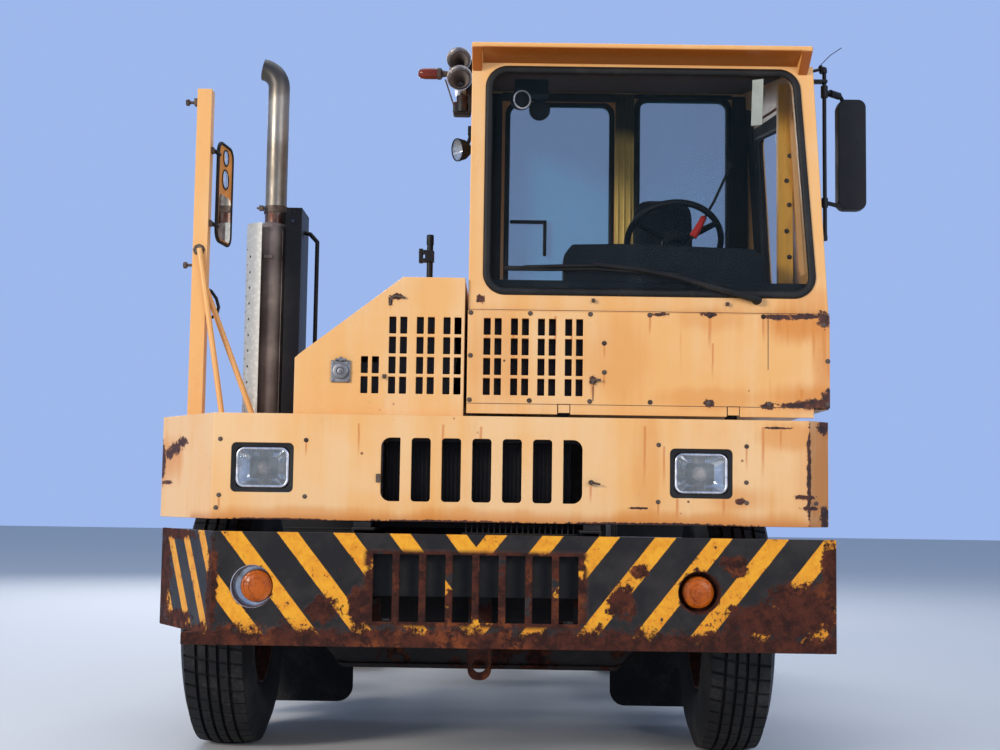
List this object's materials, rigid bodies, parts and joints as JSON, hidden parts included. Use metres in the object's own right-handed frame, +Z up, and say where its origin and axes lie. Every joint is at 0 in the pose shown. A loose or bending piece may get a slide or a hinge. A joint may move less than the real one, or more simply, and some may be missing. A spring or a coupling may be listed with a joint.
{
  "type": "terminal tractor",
  "caption": "Yard tractor with an offset single-seat tilting cab, slotted fascia, striped bumper, lifting boom and fifth wheel on a two-axle frame.",
  "frame": {"origin": "on the ground, under the middle of the bounding box", "axes": "+Z up; +Y from the front bumper towards the rear; +X towards the driver's side, the vehicle's left"},
  "size_m": [2.643, 4.765, 2.8801],
  "materials": {
    "yellow_paint": "weathered yellow-orange enamel",
    "bumper_paint": "black with hazard stripes and rust",
    "black_steel": "black chassis paint",
    "cast_grey": "bare casting with road dirt",
    "tyre": "rubber",
    "rim_paint": "off-white wheel paint",
    "glass": "tinted",
    "amber_lens": "amber",
    "clear_lens": "clear",
    "red_lens": "red",
    "seat_cloth": "dark cloth",
    "dark_plastic": "textured",
    "rubber": "matte",
    "bright_steel": "weathered plating",
    "exhaust_steel": "heat-stained steel",
    "machined_steel": "greased plate"
  },
  "bodies": {
    "chassis": {"frame_rails": "black_steel", "front_bumper": "bumper_paint", "frame_brackets": "black_steel", "bumper_lamps": "amber_lens", "tow_lug": "black_steel", "front_cowl": "yellow_paint", "cab_mounts": "black_steel", "headlights": "clear_lens", "side_deck": "yellow_paint", "hood": "yellow_paint", "radiator": "black_steel", "engine_block": "cast_grey", "drive_shaft": "black_steel", "front_axle": "cast_grey", "front_springs": "black_steel", "rear_axle": "cast_grey", "mud_flaps": "rubber", "fuel_tank": "black_steel", "battery_box": "black_steel", "rear_deck": "black_steel", "air_tanks": "black_steel", "tail_lamps": "red_lens", "exhaust": "exhaust_steel", "exhaust_shield": "bright_steel", "exhaust_guard": "black_steel", "mirror_post": "yellow_paint", "right_mirror": "dark_plastic", "hood_mast": "black_steel"},
    "cab": {"cab_shell": "yellow_paint", "cab_roof": "yellow_paint", "cab_panel": "yellow_paint", "cab_glass": "glass", "driver_seat": "seat_cloth", "dashboard": "dark_plastic", "wiper": "black_steel", "horns": "bright_steel", "cab_lamps": "amber_lens", "left_mirror": "dark_plastic"},
    "side_door": {"side_door": "yellow_paint", "side_door_glass": "glass"},
    "rear_door": {"rear_door": "yellow_paint", "rear_door_glass": "glass"},
    "steering_wheel": {"steering_wheel": "dark_plastic"},
    "boom": {"boom": "black_steel"},
    "fifth_wheel": {"fifth_wheel": "machined_steel"},
    "tie_rod": {"tie_rod": "black_steel"},
    "knuckle_left": {"knuckle_left": "cast_grey"},
    "front_wheel_left": {"front_tyre_left": "tyre", "front_rim_left": "rim_paint"},
    "rear_wheels_left": {"rear_tyres_left": "tyre", "rear_rims_left": "rim_paint"},
    "lift_barrel_left": {"lift_barrel_left": "black_steel"},
    "lift_rod_left": {"lift_rod_left": "machined_steel"},
    "knuckle_right": {"knuckle_right": "cast_grey"},
    "front_wheel_right": {"front_tyre_right": "tyre", "front_rim_right": "rim_paint"},
    "rear_wheels_right": {"rear_tyres_right": "tyre", "rear_rims_right": "rim_paint"},
    "lift_barrel_right": {"lift_barrel_right": "black_steel"},
    "lift_rod_right": {"lift_rod_right": "machined_steel"}
  },
  "joints": [
    {"name": "steer_left", "type": "hinge", "parent": "chassis", "child": "knuckle_left", "pos_m": [0.7025, -1.3225, 0.525], "axis": [0, 0, 1], "range_deg": [-30, 30]},
    {"name": "front_spin_left", "type": "hinge", "parent": "knuckle_left", "child": "front_wheel_left", "pos_m": [0.8985, -1.3225, 0.525], "axis": [1, 0, 0], "continuous": true},
    {"name": "rear_spin_left", "type": "hinge", "parent": "chassis", "child": "rear_wheels_left", "pos_m": [0.8075, 1.6235, 0.525], "axis": [1, 0, 0], "continuous": true},
    {"name": "steer_right", "type": "hinge", "parent": "chassis", "child": "knuckle_right", "pos_m": [-0.9055, -1.3225, 0.525], "axis": [0, 0, 1], "range_deg": [-30, 30]},
    {"name": "front_spin_right", "type": "hinge", "parent": "knuckle_right", "child": "front_wheel_right", "pos_m": [-1.1015, -1.3225, 0.525], "axis": [1, 0, 0], "continuous": true},
    {"name": "rear_spin_right", "type": "hinge", "parent": "chassis", "child": "rear_wheels_right", "pos_m": [-1.0105, 1.6235, 0.525], "axis": [1, 0, 0], "continuous": true},
    {"name": "tie_rod_pivot", "type": "hinge", "parent": "knuckle_left", "child": "tie_rod", "pos_m": [0.7025, -1.1325, 0.384], "axis": [0, 0, 1], "range_deg": [-31, 31]},
    {"name": "cab_tilt", "type": "hinge", "parent": "chassis", "child": "cab", "pos_m": [0.4985, -2.1925, 1.345], "axis": [1, 0, 0], "range_deg": [0, 45]},
    {"name": "side_door_hinge", "type": "hinge", "parent": "cab", "child": "side_door", "pos_m": [1.1605, -1.8585, 1.475], "axis": [0, 0, -1], "range_deg": [0, 75]},
    {"name": "rear_door_slide", "type": "slide", "parent": "cab", "child": "rear_door", "axis": [1, 0, 0], "range_m": [0, 0.52]},
    {"name": "steering_wheel_turn", "type": "hinge", "parent": "cab", "child": "steering_wheel", "pos_m": [0.6485, -1.6925, 2.0243], "axis": [0, 0.7141, 0.7001], "range_deg": [-450, 450]},
    {"name": "boom_lift", "type": "hinge", "parent": "chassis", "child": "boom", "pos_m": [-0.1015, -0.1325, 0.8], "axis": [1, 0, 0], "range_deg": [0, 14]},
    {"name": "fifth_wheel_tilt", "type": "hinge", "parent": "boom", "child": "fifth_wheel", "pos_m": [-0.1015, 1.4235, 0.96], "axis": [1, 0, 0], "range_deg": [-14, 14]},
    {"name": "lift_barrel_pivot_left", "type": "hinge", "parent": "chassis", "child": "lift_barrel_left", "pos_m": [0.0985, 0.7475, 0.41], "axis": [1, 0, 0], "range_deg": [-1, 7.46]},
    {"name": "lift_rod_slide_left", "type": "slide", "parent": "lift_barrel_left", "child": "lift_rod_left", "axis": [0, 0.1607, 0.987], "range_m": [0, 0.2243]},
    {"name": "lift_barrel_pivot_right", "type": "hinge", "parent": "chassis", "child": "lift_barrel_right", "pos_m": [-0.3015, 0.7475, 0.41], "axis": [1, 0, 0], "range_deg": [-1, 7.46]},
    {"name": "lift_rod_slide_right", "type": "slide", "parent": "lift_barrel_right", "child": "lift_rod_right", "axis": [0, 0.1607, 0.987], "range_m": [0, 0.2243]}
  ],
  "couplings": [
    {"joint": "steer_right", "follows": "steer_left", "ratio": 1},
    {"joint": "tie_rod_pivot", "follows": "steer_left", "ratio": -1},
    {"joint": "lift_barrel_pivot_left", "follows": "boom_lift", "ratio": 0.46111},
    {"joint": "lift_rod_slide_left", "follows": "boom_lift", "m_per_rad": 0.91575},
    {"joint": "lift_barrel_pivot_right", "follows": "boom_lift", "ratio": 0.46111},
    {"joint": "lift_rod_slide_right", "follows": "boom_lift", "m_per_rad": 0.91575}
  ]
}
